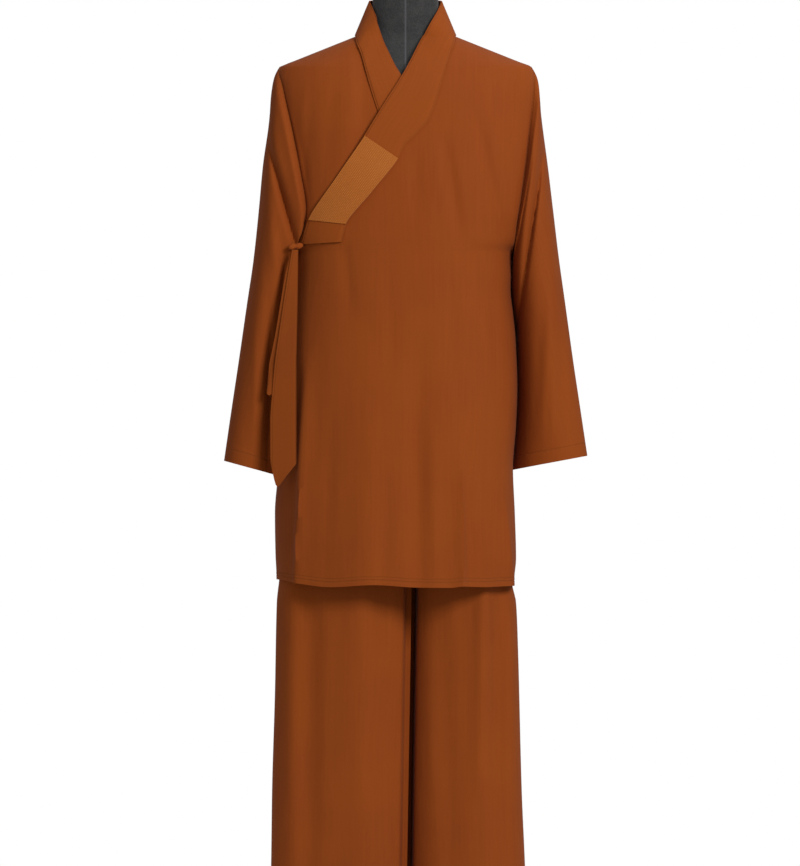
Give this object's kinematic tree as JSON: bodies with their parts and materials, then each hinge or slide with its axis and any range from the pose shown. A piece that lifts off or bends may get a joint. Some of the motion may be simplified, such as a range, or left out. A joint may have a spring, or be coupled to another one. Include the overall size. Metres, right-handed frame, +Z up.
{
  "type": "buddhist monk robe on a dress form",
  "caption": "Crossed-front long-sleeved monk jacket with a wide neck band, side tie and wide trousers, worn by a limbless dress form on a round stand.",
  "frame": {"origin": "centre of the underside of the round stand", "axes": "+Z up, the garment's front faces -Y, +X is the wearer's left"},
  "size_m": [0.5814, 0.4, 1.56],
  "materials": {
    "brown_cloth": "matt plain weave",
    "band_cloth": "matt plain weave, stiffer",
    "patch_cloth": "closely stitched",
    "form_cloth": "dark stretch cover",
    "stand_metal": "satin"
  },
  "bodies": {
    "root": {"front_left": "brown_cloth", "front_right": "brown_cloth", "back_panel": "brown_cloth", "sleeve_left": "brown_cloth", "sleeve_right": "brown_cloth", "tie_knot": "brown_cloth", "tie_long": "brown_cloth", "tie_short": "brown_cloth", "trouser_front_left": "brown_cloth", "trouser_front_right": "brown_cloth", "trouser_back_left": "brown_cloth", "trouser_back_right": "brown_cloth", "collar_left": "band_cloth", "collar_right": "band_cloth", "trouser_waistband": "band_cloth", "collar_patch": "patch_cloth", "dress_form": "form_cloth", "stand_pole": "stand_metal", "stand_base": "stand_metal"}
  },
  "joints": []
}
